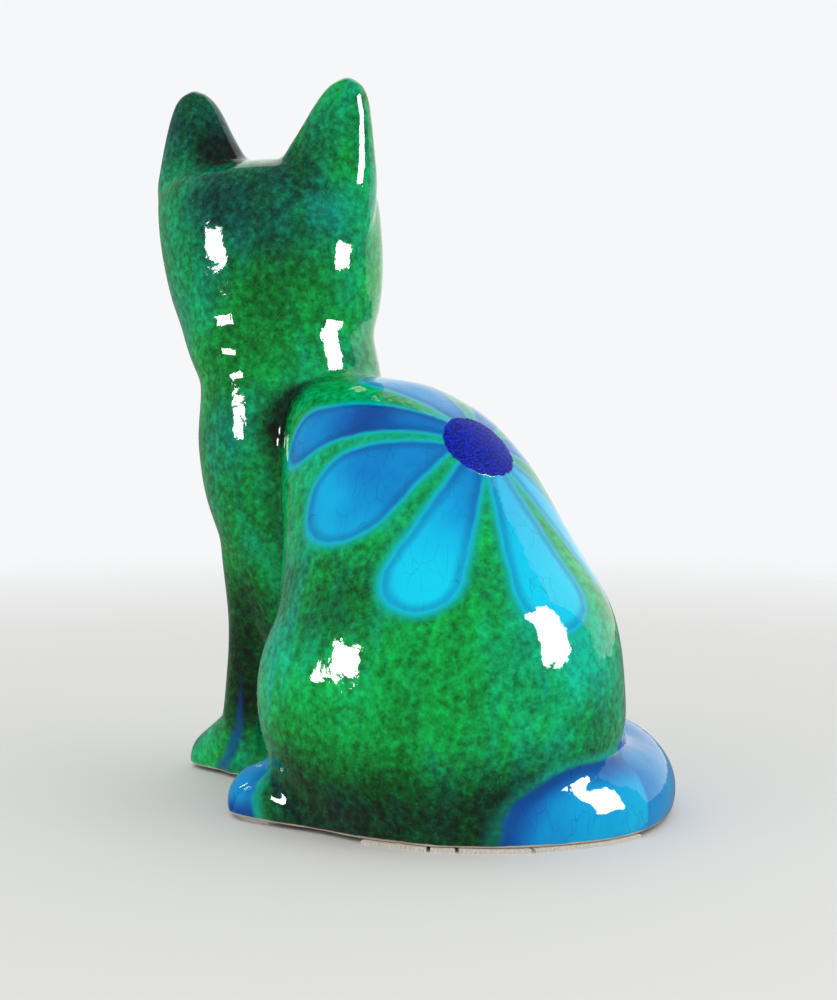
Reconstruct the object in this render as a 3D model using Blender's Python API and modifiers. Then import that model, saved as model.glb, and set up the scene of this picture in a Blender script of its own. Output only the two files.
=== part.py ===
"""A seated cat in slip-cast earthenware, its head turned over its right shoulder and its tail laid round the foot.

The cat faces -Y, its left side is +X and +Z is up; lengths are metres. The figure is designed as soft masses that
run into each other. They are fused into one skin, and the skin is parted where the castings are luted together:
body, head, two forelegs, two hind paws. The tail is a casting of its own, seated against the body. The body and
the head are hollow and open into each other at the neck, and a slab with a vent hole closes the foot. Pinked felt
strips under the foot's edge carry the figure.
"""
import math

import bmesh
import bpy
import numpy as np
from mathutils import Matrix, Vector
from mathutils.bvhtree import BVHTree

# Driving dimensions
EAR_TIP = 0.3580            # height of the ear tips above the table
FELT = 0.0018               # thickness of the felt strips
GAP = 0.0003                # clearance between pieces that touch
FOOT = FELT + GAP           # height of the clay foot
WALL = 0.0060               # wall of the hollow castings
THICK_WALL = 0.0125         # and beside the hind paws' beds
NECK = 0.2185               # height of the joint between body and head
HEAD_TURN = math.radians(-74)
HEAD_X, HEAD_Y = 0.0003, -0.1088

LEG_TOP = 0.092             # the forelegs are luted on below this height
LEG_BACK = -0.088           # and in front of this plane
LEG_SPLIT = -0.001          # the plane between the two forelegs
PAW_TOP = 0.028             # the hind paws are luted on below this height
PAW_BACK = -0.038           # in front of this plane
PAW_SIDE = 0.046            # and outside this distance from the middle

VENT_RADIUS = 0.012
VENT_Y = 0.012
FLOOR = 0.010               # height of the top of the slab that closes the foot

FELT_WIDTH = 0.0130
FELT_LIP = 0.0014           # how far the felt shows beyond the clay
HIDDEN = 0.0040             # how far the levelling strips lie under the clay
TOOTH_PITCH = 0.0020
TOOTH_DEPTH = 0.0009
FELT_HEIGHT_READ = 0.004    # height at which the foot's outline is read for the felt

VOXEL = 0.0030
SOFTNESS = 0.0040           # how far the creases between masses are rounded
SKIN_SHARE = 0.105          # share of the fine skin's triangles that are kept
HOLLOW_SHARE = 0.030
TAIL_SHARE = 0.080

GLAZE_GREEN = (0.006, 0.130, 0.060, 1.0)
GLAZE_BLUE = (0.010, 0.190, 0.420, 1.0)
BARE_CLAY = (0.620, 0.510, 0.370, 1.0)
CREAM_FELT = (0.780, 0.720, 0.600, 1.0)


# Masses -------------------------------------------------------------------------------------------------------

def through(rows, steps):
    """Rows of numbers, made finer by a smooth curve through them."""
    rows = np.array(rows, float)
    padded = np.vstack([2 * rows[0] - rows[1], rows, 2 * rows[-1] - rows[-2]])
    fine = []
    for first in range(len(rows) - 1):
        before, here, ahead, beyond = padded[first:first + 4]
        for step in range(steps):
            t = step / steps
            slope = ahead - before
            bend = 2 * before - 5 * here + 4 * ahead - beyond
            twist = 3 * here - before - 3 * ahead + beyond
            fine.append(0.5 * (2 * here + slope * t + bend * t * t + twist * t ** 3))
    fine.append(rows[-1])
    return np.array(fine)


def solid_of_rings(name, rings):
    """A closed solid over a list of rings, each a list of points."""
    mesh = bmesh.new()
    loops = [[mesh.verts.new(point) for point in ring] for ring in rings]
    for lower, upper in zip(loops, loops[1:]):
        for k in range(len(lower)):
            after = (k + 1) % len(lower)
            mesh.faces.new((lower[k], lower[after], upper[after], upper[k]))
    mesh.faces.new(list(reversed(loops[0])))
    mesh.faces.new(loops[-1])
    bmesh.ops.recalc_face_normals(mesh, faces=mesh.faces)
    return object_from(name, mesh)


def object_from(name, mesh):
    data = bpy.data.meshes.new(name)
    mesh.to_mesh(data)
    mesh.free()
    thing = bpy.data.objects.new(name, data)
    bpy.context.scene.collection.objects.link(thing)
    return thing


def loft(name, sections, turn=0.0, inset=0.0, low=-1.0, high=1.0, around=48, steps=5):
    """Level oval sections (height, x, y, half width, half depth to the front, half depth to the back).

    turn yaws the mass about the head's axis, inset draws it in on all sides, and low and high clip it.
    """
    rings = []
    spin = Matrix.Rotation(turn, 3, 'Z')
    pivot = Vector((HEAD_X, HEAD_Y, 0))
    for z, x, y, side, front, back in through(sections, steps):
        if not low <= z <= high:
            continue
        if min(side, front, back) - inset < 0.002:
            continue
        ring = []
        for k in range(around):
            angle = 2 * math.pi * k / around
            depth = front if math.sin(angle) < 0 else back
            point = Vector((x + (side - inset) * math.cos(angle), y + (depth - inset) * math.sin(angle), z))
            ring.append(pivot + spin @ (point - pivot))
        rings.append(ring)
    return solid_of_rings(name, rings)


def ellipsoid(name, centre, radii, turn=0.0):
    mesh = bmesh.new()
    bmesh.ops.create_uvsphere(mesh, u_segments=48, v_segments=24, radius=1.0)
    pivot = Vector((HEAD_X, HEAD_Y, 0)) if turn else Vector()
    place = Matrix.Translation(pivot) @ Matrix.Rotation(turn, 4, 'Z') @ Matrix.Translation(-pivot)
    size = Matrix.Diagonal([*radii, 1.0])
    bmesh.ops.transform(mesh, matrix=place @ Matrix.Translation(centre) @ size, verts=mesh.verts)
    return object_from(name, mesh)


def limb(name, points, around=32, steps=6, cap=6):
    """A round limb with domed ends through points (x, y, z, radius)."""
    rows = through(points, steps)
    ways = np.gradient(rows[:, :3], axis=0)
    stations = []
    for k in range(cap, 0, -1):
        angle = 0.97 * math.pi / 2 * k / cap
        stations.append((rows[0], ways[0], -math.sin(angle), math.cos(angle)))
    stations += [(row, way, 0.0, 1.0) for row, way in zip(rows, ways)]
    for k in range(1, cap + 1):
        angle = 0.97 * math.pi / 2 * k / cap
        stations.append((rows[-1], ways[-1], math.sin(angle), math.cos(angle)))
    rings = []
    for row, way, along, share in stations:
        way = Vector(way).normalized()
        upright = Vector((0, 1, 0)) if abs(way.z) > 0.98 else Vector((0, 0, 1))
        side = way.cross(upright).normalized()
        rise = side.cross(way)
        centre = Vector(row[:3]) + way * row[3] * along
        turns = [2 * math.pi * k / around for k in range(around)]
        rings.append([centre + (side * math.cos(a) + rise * math.sin(a)) * row[3] * share for a in turns])
    return solid_of_rings(name, rings)


def torso(**how):
    return loft('torso', [
        (-0.020, 0, 0.012, 0.070, 0.070, 0.078),
        (0.000, 0, 0.012, 0.074, 0.072, 0.083),
        (0.025, 0, 0.012, 0.082, 0.076, 0.092),
        (0.045, 0, 0.012, 0.0850, 0.078, 0.0950),
        (0.060, 0, 0.012, 0.0850, 0.078, 0.0950),
        (0.085, 0, 0.013, 0.081, 0.078, 0.0920),
        (0.105, 0, 0.012, 0.075, 0.076, 0.0870),
        (0.130, 0, 0.006, 0.067, 0.073, 0.0745),
        (0.151, 0, -0.001, 0.062, 0.070, 0.0665),
        (0.169, 0, -0.010, 0.056, 0.064, 0.0630),
        (0.1870, 0, -0.023, 0.047, 0.054, 0.0580),
        (0.1980, 0, -0.034, 0.038, 0.043, 0.0495),
        (0.2055, 0, -0.043, 0.026, 0.030, 0.0390),
        (0.2090, 0, -0.047, 0.009, 0.010, 0.0190)], **how)


def haunch(side):
    return ellipsoid('haunch', (side * 0.040, 0.006, 0.058), (0.046, 0.060, 0.064))


def chest(**how):
    return loft('chest', [
        (0.060, 0, -0.078, 0.020, 0.016, 0.040),
        (0.080, 0, -0.080, 0.030, 0.024, 0.040),
        (0.105, 0, -0.084, 0.037, 0.032, 0.040),
        (0.130, 0, -0.086, 0.044, 0.043, 0.042),
        (0.150, 0, -0.087, 0.048, 0.051, 0.045),
        (0.175, 0, -0.088, 0.050, 0.054, 0.046),
        (0.196, 0, -0.091, 0.0485, 0.0485, 0.046),
        (0.217, 0, -0.095, 0.046, 0.044, 0.0470),
        (0.235, 0, -0.099, 0.044, 0.041, 0.0460),
        (0.255, 0, -0.103, 0.040, 0.036, 0.040)], **how)


def web():
    """The clay between the forelegs and the belly."""
    return loft('web', [
        (-0.020, 0, -0.070, 0.016, 0.028, 0.030),
        (0.050, 0, -0.070, 0.016, 0.028, 0.030),
        (0.100, 0, -0.070, 0.030, 0.030, 0.030),
        (0.150, 0, -0.070, 0.040, 0.045, 0.040)])


def head(**how):
    x, y = HEAD_X, HEAD_Y
    return loft('head', [
        (0.190, x - 0.0115, y + 0.0085, 0.034, 0.034, 0.034),
        (0.217, x - 0.0100, y + 0.0065, 0.0465, 0.042, 0.0450),
        (0.235, x - 0.0050, y + 0.001, 0.0520, 0.047, 0.0475),
        (0.250, x - 0.0030, y, 0.0570, 0.050, 0.0490),
        (0.270, x - 0.0010, y, 0.0603, 0.050, 0.050),
        (0.290, x + 0.0010, y, 0.0615, 0.048, 0.049),
        (0.303, x + 0.0018, y, 0.0605, 0.042, 0.046),
        (0.313, x + 0.0018, y, 0.0515, 0.034, 0.038),
        (0.3185, x + 0.0018, y, 0.036, 0.020, 0.023),
        (0.3210, x + 0.0018, y, 0.015, 0.006, 0.008)], turn=HEAD_TURN, **how)


def ear(side):
    x, y = HEAD_X, HEAD_Y
    return loft('ear', [
        (0.255, x - 0.0028 + side * 0.0310, y + 0.003, 0.016, 0.016, 0.016),
        (0.285, x - 0.0028 + side * 0.0360, y + 0.008, 0.0245, 0.022, 0.022),
        (0.305, x - 0.0028 + side * 0.0365, y + 0.009, 0.0280, 0.021, 0.022),
        (0.319, x - 0.0038 + side * 0.0382, y + 0.010, 0.0255, 0.017, 0.018),
        (0.334, x - 0.0053 + side * 0.0420, y + 0.011, 0.0195, 0.0135, 0.014),
        (0.346, x - 0.0063 + side * 0.0445, y + 0.011, 0.0145, 0.0105, 0.011),
        (0.3535, x - 0.0068 + side * 0.0460, y + 0.011, 0.0098, 0.0075, 0.008),
        (EAR_TIP, x - 0.0068 + side * 0.0465, y + 0.011, 0.0035, 0.003, 0.003)], turn=HEAD_TURN)


def face():
    """Muzzle, nose and eye mounds, on the side of the head that looks over the right shoulder."""
    x, y = HEAD_X, HEAD_Y
    masses = [
        ellipsoid('muzzle', (x, y - 0.040, 0.259), (0.027, 0.020, 0.017), turn=HEAD_TURN),
        ellipsoid('nose', (x, y - 0.0585, 0.2685), (0.0075, 0.0050, 0.0055), turn=HEAD_TURN),
        ellipsoid('bridge', (x, y - 0.046, 0.280), (0.0090, 0.0090, 0.0180), turn=HEAD_TURN)]
    for side in (1, -1):
        eye = (x + side * 0.0255, y - 0.0390, 0.2870)
        masses.append(ellipsoid('eye', eye, (0.0155, 0.0110, 0.0110), turn=HEAD_TURN))
        cheek = (x + side * 0.0120, y - 0.0535, 0.2575)
        masses.append(ellipsoid('cheek', cheek, (0.0135, 0.0090, 0.0110), turn=HEAD_TURN))
    return masses


def foreleg(side):
    middle = LEG_SPLIT + side * 0.0135
    return [
        limb('foreleg', [
            (LEG_SPLIT + side * 0.014, -0.086, 0.165, 0.034),
            (LEG_SPLIT + side * 0.014, -0.0945, 0.120, 0.0265),
            (middle, -0.1003, 0.080, 0.0195),
            (middle, -0.1040, 0.045, 0.0190),
            (middle, -0.1080, 0.010, 0.0205)]),
        limb('forepaw', [
            (middle, -0.1085, 0.0190, 0.0205),
            (middle + side * 0.0005, -0.1205, 0.0120, 0.0195),
            (middle + side * 0.0010, -0.1362, 0.0040, 0.0172)])]


def hind_paw(side):
    return limb('hind_paw', [
        (side * 0.0540, 0.0200, 0.010, 0.0200),
        (side * 0.0620, -0.0120, 0.009, 0.0200),
        (side * 0.0675, -0.0360, 0.007, 0.0185)])


def tail_mass():
    """The tail lies on the table from the left of the rump, round the back and forward along the right side."""
    return limb('tail', [
        (0.040, 0.0550, 0.0040, 0.0240),
        (0.016, 0.0790, 0.0080, 0.0255),
        (-0.022, 0.0935, 0.0100, 0.0258),
        (-0.064, 0.0790, 0.0110, 0.0236),
        (-0.088, 0.0450, 0.0140, 0.0245),
        (-0.094, 0.0050, 0.0130, 0.0225),
        (-0.085, -0.0300, 0.0100, 0.0195)])


# Fusing and cutting -------------------------------------------------------------------------------------------

def settled(thing):
    """The object with its modifiers worked into its mesh."""
    bpy.context.view_layer.update()
    graph = bpy.context.evaluated_depsgraph_get()
    mesh = bpy.data.meshes.new_from_object(thing.evaluated_get(graph), depsgraph=graph)
    thing.modifiers.clear()
    thing.data = mesh
    return thing


def fuse(name, masses, share):
    """One skin over overlapping masses, with rounded creases and only a share of its triangles."""
    joined = bmesh.new()
    for mass in masses:
        joined.from_mesh(mass.data)
        bpy.data.objects.remove(mass)
    skin = object_from(name, joined)
    remesh = skin.modifiers.new('one skin', 'REMESH')
    remesh.mode = 'VOXEL'
    remesh.voxel_size = VOXEL
    smooth = skin.modifiers.new('round creases', 'SMOOTH')
    smooth.factor = 0.5
    smooth.iterations = round((2 * SOFTNESS / VOXEL) ** 2)
    thin = skin.modifiers.new('fewer faces', 'DECIMATE')
    thin.ratio = share
    return settled(skin)


def box(name, low, high):
    mesh = bmesh.new()
    bmesh.ops.create_cube(mesh, size=1.0)
    low, high = Vector(low), Vector(high)
    size = Matrix.Diagonal([*(high - low), 1.0])
    bmesh.ops.transform(mesh, matrix=Matrix.Translation((low + high) / 2) @ size, verts=mesh.verts)
    return object_from(name, mesh)


def cylinder(name, centre, radius, height):
    mesh = bmesh.new()
    bmesh.ops.create_cone(mesh, cap_ends=True, segments=32, radius1=radius, radius2=radius, depth=height)
    bmesh.ops.translate(mesh, vec=centre, verts=mesh.verts)
    return object_from(name, mesh)


def cut(thing, cutter, operation='DIFFERENCE'):
    boolean = thing.modifiers.new(cutter.name, 'BOOLEAN')
    boolean.operation = operation
    boolean.object = cutter
    cutter.hide_render = True
    cutter.display_type = 'WIRE'


def copy_of(thing, name):
    other = bpy.data.objects.new(name, thing.data.copy())
    bpy.context.scene.collection.objects.link(other)
    return other


def grown(thing, name, amount):
    """A copy whose skin stands off by the clearance."""
    other = copy_of(thing, name)
    push = other.modifiers.new('clearance', 'DISPLACE')
    push.strength = amount
    push.mid_level = 0.0
    return settled(other)


# Castings -----------------------------------------------------------------------------------------------------

def figure_skin():
    masses = [torso(), chest(), web(), head(), *face()]
    for side in (1, -1):
        masses += [haunch(side), hind_paw(side), *foreleg(side), ear(side)]
    return fuse('figure_skin', masses, SKIN_SHARE)


def figure_hollow():
    """The hollow of body and head, which the neck joins. It is open at the foot."""
    masses = [
        torso(inset=WALL, low=PAW_TOP + WALL, high=0.2040),
        torso(inset=THICK_WALL, high=PAW_TOP + 2 * WALL),
        chest(inset=WALL, low=LEG_TOP + WALL, high=0.2500),
        head(inset=WALL, low=0.2000, high=0.3120)]
    return fuse('figure_hollow', masses, HOLLOW_SHARE)


def head_casting(skin, hollow):
    casting = copy_of(skin, 'head_casting')
    cut(casting, box('head_space', (-0.2, -0.3, NECK + GAP / 2), (0.2, 0.2, 0.5)), 'INTERSECT')
    cut(casting, hollow)
    return casting


def leg_space(name, side, spare):
    """Where a foreleg belongs; spare draws the space in."""
    inner = LEG_SPLIT + side * spare
    outer = LEG_SPLIT + side * 0.070
    return box(name, (min(inner, outer), -0.200, -0.050), (max(inner, outer), LEG_BACK - spare, LEG_TOP - spare))


def paw_space(name, side, spare):
    inner = side * (PAW_SIDE + spare)
    outer = side * 0.120
    return box(name, (min(inner, outer), -0.085, -0.050), (max(inner, outer), PAW_BACK - spare, PAW_TOP - spare))


def on_foot(thing):
    """Cuts a casting level at the foot."""
    cut(thing, box(f'{thing.name}_foot', (-0.3, -0.3, -0.2), (0.3, 0.3, FOOT)))


def body_casting(skin, hollow):
    casting = copy_of(skin, 'body_casting')
    cut(casting, box('body_space', (-0.2, -0.3, FOOT), (0.2, 0.3, NECK - GAP / 2)), 'INTERSECT')
    for side, hand in ((1, 'left'), (-1, 'right')):
        cut(casting, leg_space(f'{hand}_leg_bed', side, -GAP / 2))
        cut(casting, paw_space(f'{hand}_paw_bed', side, -GAP / 2))
    cut(casting, hollow)
    return casting


def foot_plate(hollow):
    """The slab of clay that closes the underside, with the vent hole."""
    plate = grown(hollow, 'foot_plate', -GAP)
    cut(plate, box('plate_space', (-0.2, -0.3, FOOT), (0.2, 0.3, FLOOR)), 'INTERSECT')
    cut(plate, cylinder('vent', (0, VENT_Y, FLOOR / 2), VENT_RADIUS, 2 * FLOOR))
    return plate


def leg_casting(skin, side, hand):
    casting = copy_of(skin, f'{hand}_foreleg')
    cut(casting, leg_space(f'{hand}_leg_space', side, GAP / 2), 'INTERSECT')
    on_foot(casting)
    return casting


def paw_casting(skin, side, hand):
    casting = copy_of(skin, f'{hand}_hind_paw')
    cut(casting, paw_space(f'{hand}_paw_space', side, GAP / 2), 'INTERSECT')
    on_foot(casting)
    return casting


def tail_casting(skin):
    casting = fuse('tail', [tail_mass()], TAIL_SHARE)
    cut(casting, grown(skin, 'tail_seat', GAP))
    on_foot(casting)
    return casting


# Felt ---------------------------------------------------------------------------------------------------------

def foot_reader(castings):
    """A function that gives the distance from the foot's middle to its outline in a direction."""
    outline = bmesh.new()
    for casting in castings:
        outline.from_mesh(casting.data)
    tree = BVHTree.FromBMesh(outline)
    outline.free()

    def reach(angle):
        way = Vector((math.cos(angle), math.sin(angle), 0))
        start = Vector((0, VENT_Y, FELT_HEIGHT_READ)) + way * 0.4
        return 0.4 - tree.ray_cast(start, -way)[3]
    return reach


def felt_strip(name, reach, first, last, lip):
    """A strip under the foot's edge between two directions, pinked along its outer edge."""
    length = math.radians(last - first) * reach(math.radians((first + last) / 2))
    teeth = max(4, round(abs(length) / TOOTH_PITCH))
    outer, inner = [], []
    for k in range(2 * teeth + 1):
        angle = math.radians(first + (last - first) * k / (2 * teeth))
        way = Vector((math.cos(angle), math.sin(angle), 0))
        edge = reach(angle) + lip - (TOOTH_DEPTH if k % 2 else 0.0)
        outer.append(way * edge)
        if k % 8 == 0 or k == 2 * teeth:
            inner.append(way * (reach(angle) + lip - FELT_WIDTH))
    curve = bpy.data.curves.new(name, 'CURVE')
    curve.dimensions = '2D'
    curve.fill_mode = 'BOTH'
    curve.extrude = FELT / 2
    points = outer + inner[::-1]
    spline = curve.splines.new('POLY')
    spline.points.add(len(points) - 1)
    for point, place in zip(spline.points, points):
        point.co = (*place, 1.0)
    spline.use_cyclic_u = True
    strip = bpy.data.objects.new(name, curve)
    strip.location = (0, VENT_Y, FELT / 2)
    bpy.context.scene.collection.objects.link(strip)
    return strip


def felt_strips(castings):
    """Four strips along the left and back, which show, and three that only level the figure."""
    reach = foot_reader(castings)
    strips = [
        (18.5, 41.5, FELT_LIP), (42.7, 50.2, FELT_LIP), (51.5, 71.2, FELT_LIP), (72.5, 103, FELT_LIP / 2),
        (160, 185, -HIDDEN), (322, 338, -HIDDEN), (262, 277, -HIDDEN)]
    return [felt_strip(f'felt_strip_{k + 1}', reach, *strip) for k, strip in enumerate(strips)]


# Looks and assembly -------------------------------------------------------------------------------------------

def material(name, colour, roughness):
    coat = bpy.data.materials.new(name)
    coat.use_nodes = True
    shader = coat.node_tree.nodes['Principled BSDF']
    shader.inputs['Base Color'].default_value = colour
    shader.inputs['Roughness'].default_value = roughness
    shader.inputs['Metallic'].default_value = 0.0
    return coat


def shade_round(thing):
    if thing.type == 'MESH':
        thing.data.shade_smooth()
        thing.data.set_sharp_from_angle(angle=math.radians(40))


def gather(parts):
    """Puts the parts and the cutters in collections of their own."""
    finished = bpy.data.collections.new('ceramic_cat')
    cutters = bpy.data.collections.new('cutters')
    home = bpy.context.scene.collection
    home.children.link(finished)
    home.children.link(cutters)
    for thing in list(home.objects):
        home.objects.unlink(thing)
        (finished if thing in parts else cutters).objects.link(thing)


def centre_on_table(parts):
    """Moves the whole figure so that the origin is under the middle of its bounding box."""
    bpy.context.view_layer.update()
    graph = bpy.context.evaluated_depsgraph_get()
    points = []
    for part in parts:
        shape = part.evaluated_get(graph)
        points += [shape.matrix_world @ vertex.co for vertex in shape.to_mesh().vertices]
        shape.to_mesh_clear()
    middle = [(min(p[k] for p in points) + max(p[k] for p in points)) / 2 for k in range(2)]
    place = bpy.data.objects.new('table_centre', None)
    bpy.context.scene.collection.objects.link(place)
    for thing in list(bpy.context.scene.collection.objects):
        if thing is not place:
            thing.parent = place
    place.location = (-middle[0], -middle[1], 0)


def main():
    for thing in list(bpy.data.objects):
        bpy.data.objects.remove(thing)
    skin = figure_skin()
    hollow = figure_hollow()
    body = body_casting(skin, hollow)
    tail = tail_casting(skin)
    plate = foot_plate(hollow)
    castings = [body, head_casting(skin, hollow), tail]
    for side, hand in ((1, 'left'), (-1, 'right')):
        castings += [leg_casting(skin, side, hand), paw_casting(skin, side, hand)]
    strips = felt_strips([skin, tail])
    bpy.data.objects.remove(skin)

    green = material('green_glaze', GLAZE_GREEN, 0.08)
    blue = material('blue_glaze', GLAZE_BLUE, 0.08)
    clay = material('bare_clay', BARE_CLAY, 0.85)
    felt = material('cream_felt', CREAM_FELT, 0.90)
    for casting in castings:
        casting.data.materials.append(blue if 'tail' in casting.name or 'hind' in casting.name else green)
        shade_round(casting)
    plate.data.materials.append(clay)
    shade_round(plate)
    for strip in strips:
        strip.data.materials.append(felt)
    parts = [*castings, plate, *strips]
    centre_on_table(parts)
    gather(parts)


main()
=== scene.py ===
"""The looks of the seated ceramic cat.

It makes the glazed skin with its painting, and the materials of the felt and the foot plate. Then it
sets the floor, the light and the camera.
"""
import math

import bmesh
import bpy
import numpy as np
from mathutils import Matrix, Vector


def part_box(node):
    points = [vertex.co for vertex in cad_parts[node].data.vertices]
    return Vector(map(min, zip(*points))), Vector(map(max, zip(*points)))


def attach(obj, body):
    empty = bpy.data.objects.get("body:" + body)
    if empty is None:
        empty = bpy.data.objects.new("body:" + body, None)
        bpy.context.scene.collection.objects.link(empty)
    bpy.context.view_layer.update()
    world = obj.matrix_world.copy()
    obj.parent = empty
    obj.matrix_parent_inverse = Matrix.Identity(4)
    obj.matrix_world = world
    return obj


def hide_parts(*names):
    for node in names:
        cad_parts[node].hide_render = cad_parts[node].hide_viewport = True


# All lengths are in metres, in the figure's own frame: the cat faces -Y, its left is +X, and the
# middle of its rump is on the Z axis.
EAR_TIP = 0.3580
FOOT = 0.0021
NECK = 0.2185
HEAD_TURN = math.radians(-74)
HEAD = Vector((0.0003, -0.1088, 0))
LEG_TOP, LEG_BACK, LEG_SPLIT = 0.092, -0.088, -0.001
PAW_TOP, PAW_BACK, PAW_SIDE = 0.028, -0.038, 0.046
HALF_GAP = 0.00015

VOXEL = 0.0020              # size of the fused skin's faces
SOFTNESS = 0.0040           # how far creases between the masses are rounded
SKIN_DEPTH = 0.0025         # thickness of the shown shell
LOFT_POINTS = 64            # points round a section of the body
LIMB_POINTS = 40            # points round a limb
CURVE_STEPS = 8             # steps from one given section to the next
CAP_STEPS = 8               # rings in the domed end of a limb
CAP_SHARE = 0.97            # how near its tip a dome ends

TOE_DEPTH, TOE_WIDTH = 0.0016, 0.0011
FORETOE_DEPTH = 0.0009
CREASE_DEPTH, CREASE_WIDTH = 0.0005, 0.0026
MOUTH_DEPTH, MOUTH_WIDTH = 0.0010, 0.0012
EAR_DISH_DEPTH = 0.0042
FOOT_ROUNDING = 0.0016      # height of the rounded lower edge
FOOT_TUCK = 0.0011          # how far that edge goes in

WORLD = 0.85                # light from all round
GLOSS = 0.22                # and what of it the gloss shows
BACKDROP = 0.94             # brightness of the backdrop to the camera
DAYLIGHT = (0.98, 0.99, 1.0, 1)
FLOOR_RADIUS = 1.4
LAMP_AWAY = 1.7
LIT_HEIGHT = 0.16           # the height on the figure that the lamps point at
# name, azimuth and elevation in degrees, width, height, radiance, and whether only the gloss shows it
LAMPS = [
    ('right_window', 201, 21, 0.70, 1.20, 26.0, True),
    ('left_window', 67, 8, 0.48, 0.32, 26.0, True),
    ('white_wall', 285, 28, 3.60, 2.20, 0.85, True),
    ('right_key', 195, 30, 1.2, 1.2, 0.8, False),
    ('left_key', 75, 25, 1.2, 1.2, 0.7, False)]

CAMERA_AZIMUTH = math.radians(135)
CAMERA_TILT = math.radians(4.2)
CAMERA_AWAY = 0.88
CAMERA_HEIGHT = 0.214
FOCAL_LENGTH = 65.45        # in millimetres

FAR = 0.05                  # painted distances: a point that is nowhere near the painting
FIELD_LOW, FIELD_HIGH = -0.08, 1.2
SHADE_MARGIN = 0.010        # how far outside a blue patch its shade carries on

FLOWER = Vector((0.0036, 0.0433, 0.1765))
FLOWER_FACES = Vector((0.06, 0.703, 0.709))
DISC_RADIUS = 0.0187
PETAL_ROOT, PETAL_TIP = 0.018, 0.080
DIP_PLACE, DIP_REACH = 0.054, 0.016
# Each petal: its direction in degrees, where 90 is headwards, its length, half its width, where it
# starts, half its width there, how bright its blue is at the root and at the tip, and how much
# darker it is half way
PETALS = [
    (-134, 0.0940, 0.0172, 0.012, 0.0046, 0.42, 0.96, 0.00),
    (-90, 0.0995, 0.0196, 0.012, 0.0042, 0.76, 1.00, 0.00),
    (-48, 0.0970, 0.0180, 0.012, 0.0036, 0.76, 1.00, 0.00),
    (3, 0.0900, 0.0180, 0.012, 0.0030, 0.44, 0.92, 0.00),
    (46, 0.0880, 0.0170, 0.012, 0.0030, 0.42, 0.80, 0.00),
    (92, 0.0820, 0.0185, 0.012, 0.0030, 0.42, 0.60, 0.00),
    (136.5, 0.0935, 0.0130, 0.010, 0.0044, 0.36, 0.46, 0.30),
    (177, 0.0885, 0.0238, 0.020, 0.0030, 0.42, 0.66, 0.16)]

# Where the blue of the tail starts on the back: a round shoulder
TAIL_ROOT = 0.040
TAIL_TURN = -0.030          # past this the blue goes round the tail instead
TAIL_BLUE = 0.006           # how far outside the tail that blue reaches
SHOULDER_MIDDLE = -0.004
SHOULDER_LENGTH, SHOULDER_HEIGHT = 0.0448, 0.0362
SHOULDER_POWER = 2.4
SHOULDER_SCALE = 0.036
BLUE_PAW = (0.0660, -0.0460, 0.0060)
BLUE_PAW_REACH = 0.0280

WASH_STRENGTH = 1.3
GROUND_THICK, GROUND_TEAL = 0.25, 0.30
# Touches of the glazer's brush: place, reach, how much thicker the glaze is, how much more teal it is
WASHES = [
    (0.027, -0.134, 0.337, 0.030, 0.38, 0.36), (0.022, -0.120, 0.322, 0.013, 0.43, 0.00),
    (0.047, -0.097, 0.297, 0.022, 0.34, 0.30), (0.023, -0.068, 0.309, 0.020, 0.28, 0.10),
    (0.036, -0.071, 0.279, 0.022, 0.16, 0.38), (0.010, -0.052, 0.292, 0.014, 0.02, 0.50),
    (0.049, -0.115, 0.256, 0.025, 0.04, 0.12), (0.039, -0.076, 0.243, 0.024, 0.14, -0.34),
    (0.024, -0.059, 0.271, 0.018, 0.12, -0.12), (0.048, -0.089, 0.214, 0.020, 0.08, -0.34),
    (0.004, -0.056, 0.325, 0.022, 0.12, -0.08), (-0.015, -0.047, 0.295, 0.018, -0.04, 0.14),
    (-0.017, -0.050, 0.252, 0.022, -0.05, -0.10), (0.049, -0.095, 0.182, 0.020, 0.05, 0.28),
    (0.041, -0.060, 0.184, 0.014, 0.20, -0.10), (0.048, -0.086, 0.150, 0.030, 0.13, -0.18),
    (0.034, -0.091, 0.092, 0.022, 0.36, -0.20), (0.031, -0.099, 0.062, 0.020, 0.42, -0.25),
    (0.030, -0.136, 0.008, 0.018, -0.15, -0.10), (0.031, -0.098, 0.038, 0.016, 0.40, -0.20),
    (0.066, -0.012, 0.124, 0.028, 0.06, 0.18),
    (0.082, -0.015, 0.072, 0.024, -0.05, 0.22), (0.072, 0.024, 0.110, 0.022, 0.18, -0.05),
    (0.064, 0.065, 0.088, 0.028, 0.02, -0.30), (0.073, 0.061, 0.060, 0.030, -0.01, -0.32),
    (0.085, 0.005, 0.048, 0.022, 0.05, -0.32), (-0.004, 0.103, 0.090, 0.028, -0.14, 0.44),
    (-0.008, 0.106, 0.052, 0.018, 0.06, 0.00), (-0.060, 0.030, 0.120, 0.030, -0.08, 0.25),
    (-0.080, 0.020, 0.075, 0.028, 0.10, -0.20), (-0.045, -0.090, 0.190, 0.022, 0.12, 0.20),
    (-0.050, -0.100, 0.255, 0.025, -0.05, -0.20), (-0.035, -0.120, 0.150, 0.025, 0.05, 0.15)]


# Masses -----------------------------------------------------------------------------------------

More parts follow.
